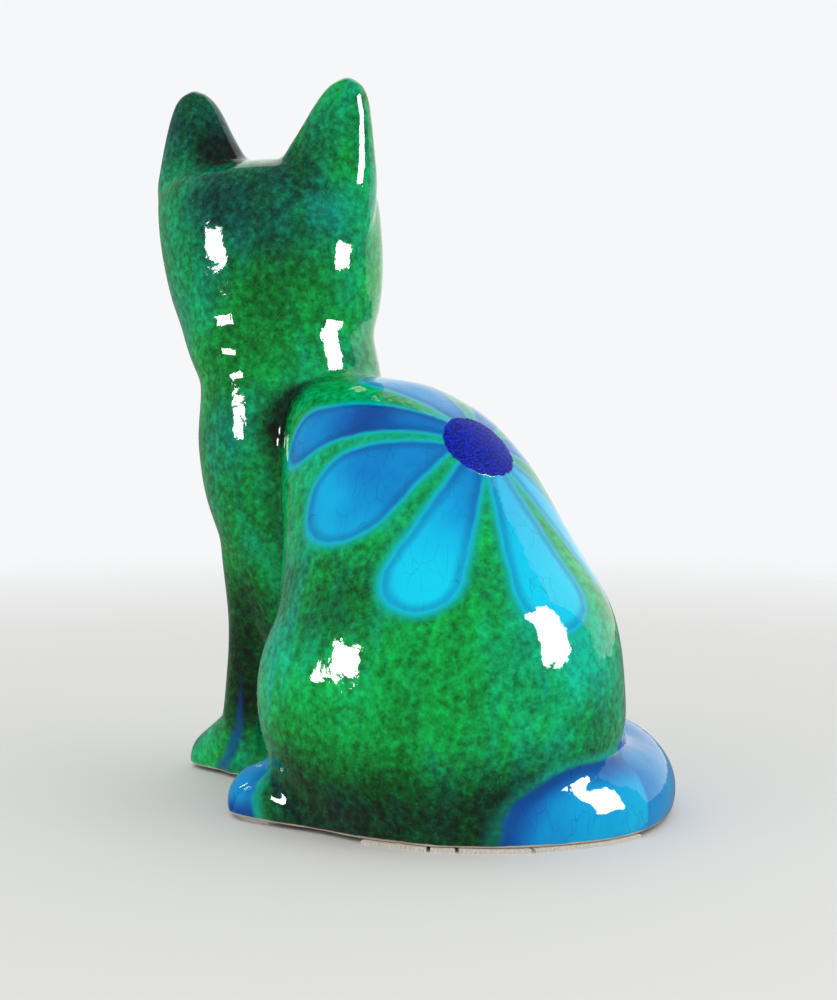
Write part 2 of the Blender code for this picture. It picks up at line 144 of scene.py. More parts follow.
def through(rows, steps):
    """Rows of numbers, made finer by a smooth curve through them."""
    rows = np.array(rows, float)
    padded = np.vstack([2 * rows[0] - rows[1], rows, 2 * rows[-1] - rows[-2]])
    fine = []
    for first in range(len(rows) - 1):
        before, here, ahead, beyond = padded[first:first + 4]
        for step in range(steps):
            t = step / steps
            slope = ahead - before
            bend = 2 * before - 5 * here + 4 * ahead - beyond
            twist = 3 * here - before - 3 * ahead + beyond
            fine.append(0.5 * (2 * here + slope * t + bend * t * t + twist * t ** 3))
    fine.append(rows[-1])
    return np.array(fine)


def object_from(name, mesh):
    data = bpy.data.meshes.new(name)
    mesh.to_mesh(data)
    mesh.free()
    thing = bpy.data.objects.new(name, data)
    bpy.context.scene.collection.objects.link(thing)
    return thing


def solid_of_rings(name, rings):
    """A closed solid over a list of rings, each a list of points."""
    mesh = bmesh.new()
    loops = [[mesh.verts.new(point) for point in ring] for ring in rings]
    for lower, upper in zip(loops, loops[1:]):
        for k in range(len(lower)):
            after = (k + 1) % len(lower)
            mesh.faces.new((lower[k], lower[after], upper[after], upper[k]))
    mesh.faces.new(list(reversed(loops[0])))
    mesh.faces.new(loops[-1])
    bmesh.ops.recalc_face_normals(mesh, faces=mesh.faces)
    return object_from(name, mesh)


def loft(name, sections, turn=0.0):
    """A solid through level ovals.

    Each oval is its height, x, y, half width, half depth to the front and half depth to the back.
    """
    rings = []
    spin = Matrix.Rotation(turn, 3, 'Z')
    for z, x, y, side, front, back in through(sections, CURVE_STEPS):
        ring = []
        for k in range(LOFT_POINTS):
            angle = 2 * math.pi * k / LOFT_POINTS
            depth = front if math.sin(angle) < 0 else back
            point = Vector((x + side * math.cos(angle), y + depth * math.sin(angle), z))
            ring.append(HEAD + spin @ (point - HEAD))
        rings.append(ring)
    return solid_of_rings(name, rings)


def ellipsoid(name, centre, radii, turn=0.0):
    mesh = bmesh.new()
    bmesh.ops.create_uvsphere(mesh, u_segments=48, v_segments=24, radius=1.0)
    pivot = HEAD if turn else Vector()
    place = Matrix.Translation(pivot) @ Matrix.Rotation(turn, 4, 'Z') @ Matrix.Translation(-pivot)
    size = Matrix.Diagonal([*radii, 1.0])
    bmesh.ops.transform(mesh, matrix=place @ Matrix.Translation(centre) @ size, verts=mesh.verts)
    return object_from(name, mesh)


def limb(name, points):
    """A round limb with domed ends through points (x, y, z, radius)."""
    rows = through(points, CURVE_STEPS)
    ways = np.gradient(rows[:, :3], axis=0)
    stations = []
    for k in range(CAP_STEPS, 0, -1):
        angle = CAP_SHARE * math.pi / 2 * k / CAP_STEPS
        stations.append((rows[0], ways[0], -math.sin(angle), math.cos(angle)))
    stations += [(row, way, 0.0, 1.0) for row, way in zip(rows, ways)]
    for k in range(1, CAP_STEPS + 1):
        angle = CAP_SHARE * math.pi / 2 * k / CAP_STEPS
        stations.append((rows[-1], ways[-1], math.sin(angle), math.cos(angle)))
    turns = [2 * math.pi * k / LIMB_POINTS for k in range(LIMB_POINTS)]
    rings = []
    for row, way, along, share in stations:
        way = Vector(way).normalized()
        upright = Vector((0, 1, 0)) if abs(way.z) > 0.98 else Vector((0, 0, 1))
        side = way.cross(upright).normalized()
        rise = side.cross(way)
        centre = Vector(row[:3]) + way * row[3] * along
        ring = [centre + (side * math.cos(a) + rise * math.sin(a)) * row[3] * share for a in turns]
        rings.append(ring)
    return solid_of_rings(name, rings)


TORSO = [
    (-0.020, 0, 0.012, 0.070, 0.070, 0.078),
    (0.000, 0, 0.012, 0.074, 0.072, 0.083),
    (0.025, 0, 0.012, 0.082, 0.076, 0.092),
    (0.045, 0, 0.012, 0.0850, 0.078, 0.0950),
    (0.060, 0, 0.012, 0.0850, 0.078, 0.0950),
    (0.085, 0, 0.013, 0.081, 0.078, 0.0920),
    (0.105, 0, 0.012, 0.075, 0.076, 0.0870),
    (0.130, 0, 0.006, 0.067, 0.073, 0.0745),
    (0.151, 0, -0.001, 0.062, 0.070, 0.0665),
    (0.169, 0, -0.010, 0.056, 0.064, 0.0630),
    (0.1870, 0, -0.023, 0.047, 0.054, 0.0580),
    (0.1980, 0, -0.034, 0.038, 0.043, 0.0495),
    (0.2055, 0, -0.043, 0.026, 0.030, 0.0390),
    (0.2090, 0, -0.047, 0.009, 0.010, 0.0190)]

CHEST = [
    (0.060, 0, -0.078, 0.020, 0.016, 0.040),
    (0.080, 0, -0.080, 0.030, 0.024, 0.040),
    (0.105, 0, -0.084, 0.037, 0.032, 0.040),
    (0.130, 0, -0.086, 0.044, 0.043, 0.042),
    (0.150, 0, -0.087, 0.048, 0.051, 0.045),
    (0.175, 0, -0.088, 0.050, 0.054, 0.046),
    (0.196, 0, -0.091, 0.0485, 0.0485, 0.046),
    (0.217, 0, -0.095, 0.046, 0.044, 0.0470),
    (0.235, 0, -0.099, 0.044, 0.041, 0.0460),
    (0.255, 0, -0.103, 0.040, 0.036, 0.040)]

WEB = [
    (-0.020, 0, -0.070, 0.016, 0.028, 0.030),
    (0.050, 0, -0.070, 0.016, 0.028, 0.030),
    (0.100, 0, -0.070, 0.030, 0.030, 0.030),
    (0.150, 0, -0.070, 0.040, 0.045, 0.040)]

TAIL = [
    (0.040, 0.0550, 0.0040, 0.0240),
    (0.016, 0.0790, 0.0080, 0.0255),
    (-0.022, 0.0935, 0.0100, 0.0258),
    (-0.064, 0.0790, 0.0110, 0.0236),
    (-0.088, 0.0450, 0.0140, 0.0245),
    (-0.094, 0.0050, 0.0130, 0.0225),
    (-0.085, -0.0300, 0.0100, 0.0195)]


def head():
    x, y = HEAD.x, HEAD.y
    return loft('head', [
        (0.190, x - 0.0115, y + 0.0085, 0.034, 0.034, 0.034),
        (0.217, x - 0.0100, y + 0.0065, 0.0465, 0.042, 0.0450),
        (0.235, x - 0.0050, y + 0.001, 0.0520, 0.047, 0.0475),
        (0.250, x - 0.0030, y, 0.0570, 0.050, 0.0490),
        (0.270, x - 0.0010, y, 0.0603, 0.050, 0.050),
        (0.290, x + 0.0010, y, 0.0615, 0.048, 0.049),
        (0.303, x + 0.0018, y, 0.0605, 0.042, 0.046),
        (0.313, x + 0.0018, y, 0.0515, 0.034, 0.038),
        (0.3185, x + 0.0018, y, 0.036, 0.020, 0.023),
        (0.3210, x + 0.0018, y, 0.015, 0.006, 0.008)], turn=HEAD_TURN)


def ear(side):
    x, y = HEAD.x, HEAD.y
    return loft('ear', [
        (0.255, x - 0.0028 + side * 0.0310, y + 0.003, 0.016, 0.016, 0.016),
        (0.285, x - 0.0028 + side * 0.0360, y + 0.008, 0.0245, 0.022, 0.022),
        (0.305, x - 0.0028 + side * 0.0365, y + 0.009, 0.0280, 0.021, 0.022),
        (0.319, x - 0.0038 + side * 0.0382, y + 0.010, 0.0255, 0.017, 0.018),
        (0.334, x - 0.0053 + side * 0.0420, y + 0.011, 0.0195, 0.0135, 0.014),
        (0.346, x - 0.0063 + side * 0.0445, y + 0.011, 0.0145, 0.0105, 0.011),
        (0.3535, x - 0.0068 + side * 0.0460, y + 0.011, 0.0098, 0.0075, 0.008),
        (EAR_TIP, x - 0.0068 + side * 0.0465, y + 0.011, 0.0035, 0.003, 0.003)], turn=HEAD_TURN)


def face():
    x, y = HEAD.x, HEAD.y
    masses = [
        ellipsoid('muzzle', (x, y - 0.040, 0.259), (0.027, 0.020, 0.017), turn=HEAD_TURN),
        ellipsoid('nose', (x, y - 0.0585, 0.2685), (0.0075, 0.0050, 0.0055), turn=HEAD_TURN),
        ellipsoid('bridge', (x, y - 0.046, 0.280), (0.0090, 0.0090, 0.0180), turn=HEAD_TURN)]
    for side in (1, -1):
        eye = (x + side * 0.0255, y - 0.0390, 0.2870)
        masses.append(ellipsoid('eye', eye, (0.0155, 0.0110, 0.0110), turn=HEAD_TURN))
        cheek = (x + side * 0.0120, y - 0.0535, 0.2575)
        masses.append(ellipsoid('cheek', cheek, (0.0135, 0.0090, 0.0110), turn=HEAD_TURN))
    return masses


def foreleg(side):
    middle = LEG_SPLIT + side * 0.0135
    return [
        limb('foreleg', [
            (LEG_SPLIT + side * 0.014, -0.086, 0.165, 0.034),
            (LEG_SPLIT + side * 0.014, -0.0945, 0.120, 0.0265),
            (middle, -0.1003, 0.080, 0.0195),
            (middle, -0.1040, 0.045, 0.0190),
            (middle, -0.1080, 0.010, 0.0205)]),
        limb('forepaw', [
            (middle, -0.1085, 0.0190, 0.0205),
            (middle + side * 0.0005, -0.1205, 0.0120, 0.0195),
            (middle + side * 0.0010, -0.1362, 0.0040, 0.0172)])]


def hind_leg(side):
    return [
        ellipsoid('haunch', (side * 0.040, 0.006, 0.058), (0.046, 0.060, 0.064)),
        limb('hind_paw', [
            (side * 0.0540, 0.0200, 0.010, 0.0200),
            (side * 0.0620, -0.0120, 0.009, 0.0200),
            (side * 0.0675, -0.0360, 0.007, 0.0185)])]


def settled(thing):
    """The object with its modifiers worked into its mesh."""
    bpy.context.view_layer.update()
    graph = bpy.context.evaluated_depsgraph_get()
    mesh = bpy.data.meshes.new_from_object(thing.evaluated_get(graph), depsgraph=graph)
    thing.modifiers.clear()
    thing.data = mesh
    return thing


def fused_skin():
    """All masses as one skin with rounded creases."""
    masses = [
        loft('torso', TORSO), loft('chest', CHEST), loft('web', WEB), head(), limb('tail', TAIL), *face()]
    for side in (1, -1):
        masses += [*hind_leg(side), *foreleg(side), ear(side)]
    joined = bmesh.new()
    for mass in masses:
        joined.from_mesh(mass.data)
        bpy.data.objects.remove(mass)
    skin = object_from('skin', joined)
    remesh = skin.modifiers.new('one skin', 'REMESH')
    remesh.mode = 'VOXEL'
    remesh.voxel_size = VOXEL
    smooth = skin.modifiers.new('round creases', 'SMOOTH')
    smooth.factor = 0.5
    smooth.iterations = round((2 * SOFTNESS / VOXEL) ** 2)
    return settled(skin)


# Skin as arrays ---------------------------------------------------------------------------------

def points_of(mesh):
    points = np.empty(len(mesh.vertices) * 3, np.float32)
    mesh.vertices.foreach_get('co', points)
    return points.reshape(-1, 3).astype(float)


def normals_of(mesh):
    normals = np.empty(len(mesh.vertices) * 3, np.float32)
    mesh.vertices.foreach_get('normal', normals)
    return normals.reshape(-1, 3)


def on_head(points):
    """Head coordinates: across the face, out through the nose, and height."""
    spin = np.array(Matrix.Rotation(-HEAD_TURN, 3, 'Z'))
    local = (points - np.array(HEAD)) @ spin.T
    return local[:, 0], -local[:, 1], points[:, 2]


def ramp(value, low, high):
    """0 below low and 1 above high, smooth in between."""
    t = np.clip((value - low) / (high - low), 0, 1)
    return t * t * (3 - 2 * t)


def to_path(points, path):
    """Distance of points to a path of straight runs, and how far along it they are."""
    path = np.array(path, float)
    best = np.full(len(points), 9.0)
    along = np.zeros(len(points))
    done = 0.0
    for start, end in zip(path, path[1:]):
        run = end - start
        length = np.linalg.norm(run)
        share = np.clip((points - start) @ run / length ** 2, 0, 1)
        away = np.linalg.norm(points - start - share[:, None] * run, axis=1)
        nearer = away < best
        best[nearer] = away[nearer]
        along[nearer] = done + share[nearer] * length
        done += length
    return best, along


def both_sides(points, path, middle=0.0):
    """Distance to a path on the cat's left or to its mirror image on the right."""
    mirrored = points.copy()
    mirrored[:, 0] = 2 * middle - mirrored[:, 0]
    return np.minimum(to_path(points, path)[0], to_path(mirrored, path)[0])


def refine(skin):
    """Finer faces where toes and face are cut in."""
    mesh = bmesh.new()
    mesh.from_mesh(skin.data)
    points = points_of(skin.data)
    _, out, high = on_head(points)
    fine = (out > 0.028) & (high > 0.240) & (high < 0.312)
    fine |= (high < 0.040) & (points[:, 1] < -0.014) & (np.abs(points[:, 0]) > 0.045)
    fine |= (high < 0.045) & (points[:, 1] < -0.100)
    mesh.verts.ensure_lookup_table()
    edges = [e for e in mesh.edges if fine[e.verts[0].index] and fine[e.verts[1].index]]
    bmesh.ops.subdivide_edges(mesh, edges=edges, cuts=1, use_grid_fill=True, smooth=0.6)
    bmesh.ops.triangulate(mesh, faces=[f for f in mesh.faces if len(f.verts) > 4])
    mesh.to_mesh(skin.data)
    mesh.free()


TOE_GROOVES = [
    [(0.0750, -0.0265, 0.0240), (0.0790, -0.0280, 0.0210), (0.0820, -0.0300, 0.0180),
     (0.0840, -0.0340, 0.0150), (0.0850, -0.0380, 0.0115), (0.0855, -0.0410, 0.0040)],
    [(0.0680, -0.0330, 0.0280), (0.0715, -0.0430, 0.0245), (0.0740, -0.0510, 0.0140),
     (0.0745, -0.0550, 0.0020)],
    [(0.0600, -0.0330, 0.0270), (0.0605, -0.0430, 0.0235), (0.0610, -0.0500, 0.0140),
     (0.0610, -0.0540, 0.0020)]]
# The crease between a haunch and its paw
HAUNCH_CREASE = [
    (0.0700, -0.0330, 0.0260), (0.0750, -0.0240, 0.0230), (0.0790, -0.0150, 0.0195),
    (0.0800, -0.0090, 0.0160), (0.0800, -0.0040, 0.0120), (0.0790, 0.0010, 0.0070),
    (0.0770, 0.0050, 0.0020)]
FOREPAW_GROOVES = [
    [(0.0185, -0.1290, 0.0250), (0.0190, -0.1420, 0.0180), (0.0195, -0.1500, 0.0080),
     (0.0195, -0.1520, 0.0020)],
    [(0.0085, -0.1290, 0.0250), (0.0085, -0.1420, 0.0180), (0.0085, -0.1500, 0.0080),
     (0.0085, -0.1520, 0.0020)]]


def mouth_paths():
    """The mouth in head coordinates: a short line under the nose, and a curve to each side."""
    paths = [[(0.0, 0.0, 0.2640), (0.0, 0.0, 0.2565)]]
    for side in (1, -1):
        turns = [math.radians(200 + 12 * k) for k in range(11)]
        paths.append([
            (side * (0.0085 + 0.0085 * math.cos(a)), 0.0, 0.2572 + 0.0070 * math.sin(a))
            for a in turns])
    return paths


def face_distance(points, paths):
    """Distance in the plane of the face to any of some paths."""
    across, out, high = on_head(points)
    flat = np.column_stack([across, np.zeros(len(points)), high])
    distance = np.min([to_path(flat, path)[0] for path in paths], axis=0)
    return np.where(out > 0.015, distance, FAR)


def ear_dish(points):
    """How deep inside an ear's front dish a point is: 1 in the middle and 0 at its rim."""
    across, out, high = on_head(points)
    depth = np.zeros(len(points))
    for side in (1, -1):
        middle = -0.0025 + side * (0.0400 + 0.14 * (high - 0.322))
        reach = 0.0125 * (1 - ramp(high, 0.300, 0.354) * 0.85)
        inside = 1 - ((across - middle) / np.maximum(reach, 0.001)) ** 2
        inside *= ramp(high, 0.300, 0.312) * (1 - ramp(high, 0.340, 0.352))
        inside *= ramp(-out, -0.024, -0.014)
        depth = np.maximum(depth, np.clip(inside, 0, 1) * (out > 0.0))
    return depth


def groove(distance, depth, width):
    return depth * np.exp(-(distance / width) ** 2)


def cut_details(skin):
    """Presses toe grooves, haunch creases, the mouth and the ear dishes into the skin."""
    mesh = skin.data
    points = points_of(mesh)
    depth = np.zeros(len(points))
    for path in TOE_GROOVES:
        depth += groove(both_sides(points, path), TOE_DEPTH, TOE_WIDTH)
    depth += groove(both_sides(points, HAUNCH_CREASE), CREASE_DEPTH, CREASE_WIDTH)
    for path in FOREPAW_GROOVES:
        depth += groove(both_sides(points, path, LEG_SPLIT), FORETOE_DEPTH, TOE_WIDTH)
    depth += groove(face_distance(points, mouth_paths()), MOUTH_DEPTH, MOUTH_WIDTH)
    depth += EAR_DISH_DEPTH * ear_dish(points)
    points -= normals_of(mesh) * depth[:, None]
    mesh.vertices.foreach_set('co', points.astype(np.float32).ravel())
    mesh.update()


def level_foot(skin):
    """Cuts the skin off level at the foot and rounds its lower edge under."""
    mesh = bmesh.new()
    mesh.from_mesh(skin.data)
    everything = mesh.verts[:] + mesh.edges[:] + mesh.faces[:]
    bmesh.ops.bisect_plane(
        mesh, geom=everything, dist=1e-6, plane_co=(0, 0, FOOT), plane_no=(0, 0, 1),
        clear_inner=True)
    for vert in mesh.verts:
        rise = vert.co.z - FOOT
        if rise < FOOT_ROUNDING:
            arc = math.sqrt(max(0.0, 1 - (1 - rise / FOOT_ROUNDING) ** 2))
            inward = FOOT_TUCK * (1 - arc)
            flat = Vector((vert.normal.x, vert.normal.y, 0))
            if flat.length > 0.3:
                vert.co -= flat.normalized() * inward
    mesh.to_mesh(skin.data)
    mesh.free()


# Painting ---------------------------------------------------------------------------------------

def teardrop(across, along, root, length, narrow, wide):
    """Signed distance to a teardrop, positive inside: narrow at root and wide at its far end."""
    across = np.abs(across)
    up = along - root
    reach = length - wide - root
    slant = (narrow - wide) / reach
    rest = math.sqrt(1 - slant * slant)
    side = -slant * across + rest * up
    near = np.hypot(across, up) - narrow
    far = np.hypot(across, up - reach) - wide
    flank = rest * across + slant * up - narrow
    return -np.where(side < 0, near, np.where(side > rest * reach, far, flank))


def flower(points):
    """How far inside the petals and the disc each point is, and how bright its petal is."""
    normal = FLOWER_FACES.normalized()
    across_axis = Vector((0, 0, 1)).cross(normal).normalized()
    up_axis = normal.cross(across_axis)
    away = points - np.array(FLOWER)
    reach = np.linalg.norm(away, axis=1)
    angle = np.arctan2(away @ np.array(up_axis), away @ np.array(across_axis))
    petal = np.full(len(points), -FAR)
    light = np.zeros(len(points))
    for way, length, wide, root, narrow, root_light, tip_light, dip in PETALS:
        turn = (angle - math.radians(way) + math.pi) % (2 * math.pi) - math.pi
        across = np.where(np.abs(turn) < math.pi / 2, reach * np.sin(turn), reach)
        inside = teardrop(across, reach * np.cos(turn), root, length, narrow, wide)
        nearer = inside > petal
        petal[nearer] = inside[nearer]
        shade = root_light + (tip_light - root_light) * ramp(reach, PETAL_ROOT, PETAL_TIP)
        shade -= dip * np.exp(-((reach - DIP_PLACE) / DIP_REACH) ** 2)
        light[nearer] = shade[nearer]
    return petal, DISC_RADIUS - reach, light


def tail_field(points):
    """How far outside the tail a point is, and how far along the tail."""
    rows = through(TAIL, CURVE_STEPS)
    away, along = to_path(points, rows[:, :3])
    runs = np.linalg.norm(np.diff(rows[:, :3], axis=0), axis=1)
    lengths = np.concatenate([[0], np.cumsum(runs)])
    return away - np.interp(along, lengths, rows[:, 3]), along


def loft_field(points, sections):
    """How far outside a mass of level sections a point is."""
    rows = through(sections, 6)
    y, side, front, back = (np.interp(points[:, 2], rows[:, 0], rows[:, k]) for k in (2, 3, 4, 5))
    depth = np.where(points[:, 1] < y, front, back)
    share = np.hypot(points[:, 0] / side, (points[:, 1] - y) / depth)
    return (share - 1) * np.minimum(side, depth)


def blue_tail(points):
    """How far inside the tail's blue a point is. On the back the blue starts with a round shoulder."""
    x, y, z = points.T
    outside = tail_field(points)[0]
    along = np.clip(x - SHOULDER_MIDDLE, 0, None) / SHOULDER_LENGTH
    up = np.clip(z / SHOULDER_HEIGHT, 0, None)
    share = (along ** SHOULDER_POWER + up ** SHOULDER_POWER) ** (1 / SHOULDER_POWER)
    inside = np.where(x < TAIL_TURN, TAIL_BLUE - outside, (1 - share) * SHOULDER_SCALE)
    return np.where((x < TAIL_TURN) | (y > TAIL_ROOT), inside, -FAR)


def blue_paw(points):
    """How far inside the blue round the tip of a hind paw a point is."""
    mirrored = np.column_stack([np.abs(points[:, 0]), points[:, 1:]])
    return BLUE_PAW_REACH - np.linalg.norm(mirrored - np.array(BLUE_PAW), axis=1)


LEG_LINES = [
    [(0.0310, -0.0985, 0.0560), (0.0310, -0.0995, 0.0420), (0.0310, -0.1000, 0.0340),
     (0.0310, -0.1005, 0.0280), (0.0318, -0.1030, 0.0200), (0.0325, -0.1060, 0.0130),
     (0.0320, -0.1110, 0.0070), (0.0300, -0.1170, 0.0030)],
    [(0.0215, -0.1160, 0.0900), (0.0240, -0.1180, 0.0600), (0.0255, -0.1210, 0.0420),
     (0.0265, -0.1280, 0.0310), (0.0275, -0.1370, 0.0220), (0.0270, -0.1450, 0.0120)]]


def blue_lines(points):
    """How near a point is to the brushed lines on the forelegs."""
    distance = np.min([both_sides(points, path, LEG_SPLIT) for path in LEG_LINES], axis=0)
    half_width = 0.0024 - 0.0036 * ramp(points[:, 2], 0.016, 0.058)
    return np.where(points[:, 2] < 0.13, half_width - distance, -FAR)


def almond(across, high, length, height):
    """Signed distance to an eye's outline, positive inside."""
    radius = (length ** 2 + height ** 2) / (2 * height)
    low = np.hypot(across, high + (radius - height))
    top = np.hypot(across, high - (radius - height))
    return radius - np.maximum(low, top)


def brow_and_whiskers(side):
    """Brush lines on one side of the face, each with half its width and its path."""
    rise = 0.0035
    brow = [
        (side * (0.010 + rise * k), 0, 0.3030 + rise * math.sin(k * math.pi / 8)) for k in range(9)]
    lines = [(0.0008, brow)]
    for k in range(3):
        start, slope = 0.2600 - 0.0045 * k, 0.0012 - 0.0009 * k
        whisker = [
            (side * (0.0190 + 0.0040 * n), 0, start + slope * n - 0.00012 * n * n) for n in range(8)]
        lines.append((0.0005, whisker))
    return lines


def face_paint(points):
    """Dark brush lines of the face and the pupils, and the eyes' colour, each positive inside."""
    across, out, high = on_head(points)
    front = out > 0.012
    dark = np.full(len(points), -FAR)
    iris = np.full(len(points), -FAR)
    for side in (1, -1):
        turn = math.radians(14 * side)
        aside, above = across - side * 0.0255, high - 0.2875
        along = aside * math.cos(turn) + above * math.sin(turn)
        rise = -aside * math.sin(turn) + above * math.cos(turn)
        eye = almond(along, rise, 0.0165, 0.0092)
        iris = np.maximum(iris, eye)
        pupil = 0.0026 - np.hypot(along, rise * 0.36)
        dark = np.maximum(dark, np.maximum(0.0011 - np.abs(eye), pupil))
        for half_width, path in brow_and_whiskers(side):
            dark = np.maximum(dark, half_width - face_distance(points, [path]))
    nose = np.minimum(0.0062 - np.abs(across) - 0.6 * (0.2735 - high), 0.2735 - high)
    nose = np.where(out > 0.045, nose, -FAR)
    dark = np.maximum(dark, np.maximum(nose, 0.0007 - face_distance(points, mouth_paths())))
    return np.where(front, dark, -FAR), np.where(front, iris, -FAR)


def glaze_depth_and_shade(points):
    """How thickly the green glaze lies, from 0 to 1, with painted shade added to it near the foot, behind
    the neck and in the haunch creases, and how teal it is, from 0 to 1.
    """
    _, y, z = points.T
    thickness_and_shade = np.full(len(points), GROUND_THICK)
    teal = np.full(len(points), GROUND_TEAL)
    for *centre, reach, thicker, tealer in WASHES:
        share = np.exp(-np.sum((points - np.array(centre)) ** 2, axis=1) / reach ** 2)
        thickness_and_shade += WASH_STRENGTH * thicker * share
        teal += tealer * share
    # Painted shade: the green is darker towards the foot, except at the front of the figure.
    thickness_and_shade += 0.55 * ramp(-z, -0.056, -0.014) * ramp(y, -0.050, 0.010)
    # Behind the neck, in the crease between back and chest, the glaze pooled, and painted shade darkens
    # that crease further.
    valley = loft_field(points, TORSO) ** 2 + loft_field(points, CHEST) ** 2
    pooled_and_shaded = 0.22 + 0.50 * ramp(z, 0.165, 0.190)
    pooled_and_shaded *= (z > 0.06) * ramp(-z, -0.212, -0.200)
    thickness_and_shade += np.exp(-valley / 0.0075 ** 2) * pooled_and_shaded
    # Along the haunch creases the glaze pooled and turns more teal, and painted shade darkens it as well.
    crease = np.exp(-(both_sides(points, HAUNCH_CREASE) / 0.0030) ** 2)
    thickness_and_shade += 0.15 * crease
    teal += 0.50 * crease
    return np.clip(thickness_and_shade, 0, 1), np.clip(teal, 0, 1)


def paint(skin):
    """Writes where the painting is on the skin, as distances that the glaze reads."""
    points = points_of(skin.data)
    x, _, z = points.T
    petal, disc, petal_light = flower(points)
    tail, paw = blue_tail(points), blue_paw(points)
    dark, iris = face_paint(points)
    dish = ear_dish(points)
    thickness_and_shade, teal = glaze_depth_and_shade(points)
    light = np.where(dish > 0.05, 0.35, petal_light)
    tail_light = 0.08 + 0.44 * ramp(tail, 0.001, 0.013) + 0.22 * ramp(-x, -0.030, 0.050)
    paw_light = 0.12 + 0.40 * ramp(z, 0.004, 0.013)
    light = np.where(tail > -SHADE_MARGIN, tail_light, light)
    light = np.where(paw > -SHADE_MARGIN, paw_light, light)
    fields = {
        'blue': np.max([petal, tail, paw, (dish - 0.35) * 0.020], axis=0),
        'blue_light': light,
        'disc': disc,
        'leg_line': blue_lines(points),
        'face_line': dark,
        'iris': iris,
        'thickness_and_shade': thickness_and_shade,
        'teal': teal}
    for name, values in fields.items():
        layer = skin.data.attributes.new(name, 'FLOAT', 'POINT')
        kept = np.clip(values, FIELD_LOW, FIELD_HIGH)
        layer.data.foreach_set('value', kept.astype(np.float32))


# Pieces -----------------------------------------------------------------------------------------

PIECES = {
    'glazed_body': ('body_casting', 'green_glaze'),
    'glazed_head': ('head_casting', 'green_glaze'),
    'glazed_left_foreleg': ('left_foreleg', 'green_glaze'),
    'glazed_right_foreleg': ('right_foreleg', 'green_glaze'),
    'glazed_left_hind_paw': ('left_hind_paw', 'blue_glaze'),
    'glazed_right_hind_paw': ('right_hind_paw', 'blue_glaze'),
    'glazed_tail': ('tail', 'blue_glaze')}


def piece_of(points):
    """The name of the piece that each point of the skin belongs to, as an index into PIECES."""
    x, y, z = points.T
    names = list(PIECES)
    belongs = np.full(len(points), names.index('glazed_body'))
    outside, along = tail_field(points)
    tail = (outside < 0.0030) & (loft_field(points, TORSO) > outside) & (z < 0.06) & (along > 0.012)
    belongs[tail] = names.index('glazed_tail')
    paws = (z < PAW_TOP) & (y < PAW_BACK) & ~tail
    belongs[paws & (x > PAW_SIDE)] = names.index('glazed_left_hind_paw')
    belongs[paws & (x < -PAW_SIDE)] = names.index('glazed_right_hind_paw')
    legs = (z < LEG_TOP) & (y < LEG_BACK) & ~tail
    belongs[legs & (x > LEG_SPLIT)] = names.index('glazed_left_foreleg')
    belongs[legs & (x <= LEG_SPLIT)] = names.index('glazed_right_foreleg')
    belongs[z > NECK] = names.index('glazed_head')
    return belongs


def open_edges(faces):
    """The edges that only one face uses, each as its two corners in that face's order."""
    edges = {}
    for face in faces:
        for a, b in zip(face, face[1:] + face[:1]):
            if (b, a) in edges:
                del edges[(b, a)]
            else:
                edges[(a, b)] = True
    return list(edges)


def shell_mesh(name, own, points, normals, place):
    """A closed shell over some faces of the skin, and the skin's vertices that it uses."""
    used = np.unique(np.concatenate([np.array(face) for face in own]))
    number = {old: new for new, old in enumerate(used)}
    count = len(used)
    outer = [tuple(number[corner] for corner in face) for face in own]
    inner = [tuple(corner + count for corner in reversed(face)) for face in outer]
    rim = [(b, a, a + count, b + count) for a, b in open_edges(outer)]
    deep = points[used] - normals[used] * SKIN_DEPTH
    deep[:, 2] = np.maximum(deep[:, 2], FOOT)
    corners = np.vstack([points[used], deep]) + np.array(place)
    shell = bpy.data.meshes.new(name)
    shell.from_pydata(corners.tolist(), [], outer + inner + rim)
    shell.shade_smooth()
    return shell, used


def shells(skin, place, glaze):
    """Splits the skin into one closed shell for each piece. The outer sides meet with the same normals."""
    mesh = skin.data
    points, normals = points_of(mesh), normals_of(mesh)
    faces = [tuple(face.vertices) for face in mesh.polygons]
    belongs = piece_of(np.array([points[list(face)].mean(axis=0) for face in faces]))
    layers = {}
    for layer in mesh.attributes:
        if layer.data_type == 'FLOAT':
            layers[layer.name] = np.empty(len(points), np.float32)
            layer.data.foreach_get('value', layers[layer.name])
    for index, (name, (node, slot)) in enumerate(PIECES.items()):
        own = [faces[k] for k in np.nonzero(belongs == index)[0]]
        shell, used = shell_mesh(name, own, points, normals, place)
        for layer, values in layers.items():
            copy = shell.attributes.new(layer, 'FLOAT', 'POINT')
            copy.data.foreach_set('value', np.tile(values[used], 2))
        both = np.vstack([normals[used], -normals[used]])
        shell.normals_split_custom_set_from_vertices(both.tolist())
        shell.materials.append(glaze)
        piece = bpy.data.objects.new(name, shell)
        bpy.context.scene.collection.objects.link(piece)
        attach(piece, 'root')
        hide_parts(node)


# Materials --------------------------------------------------------------------------------------

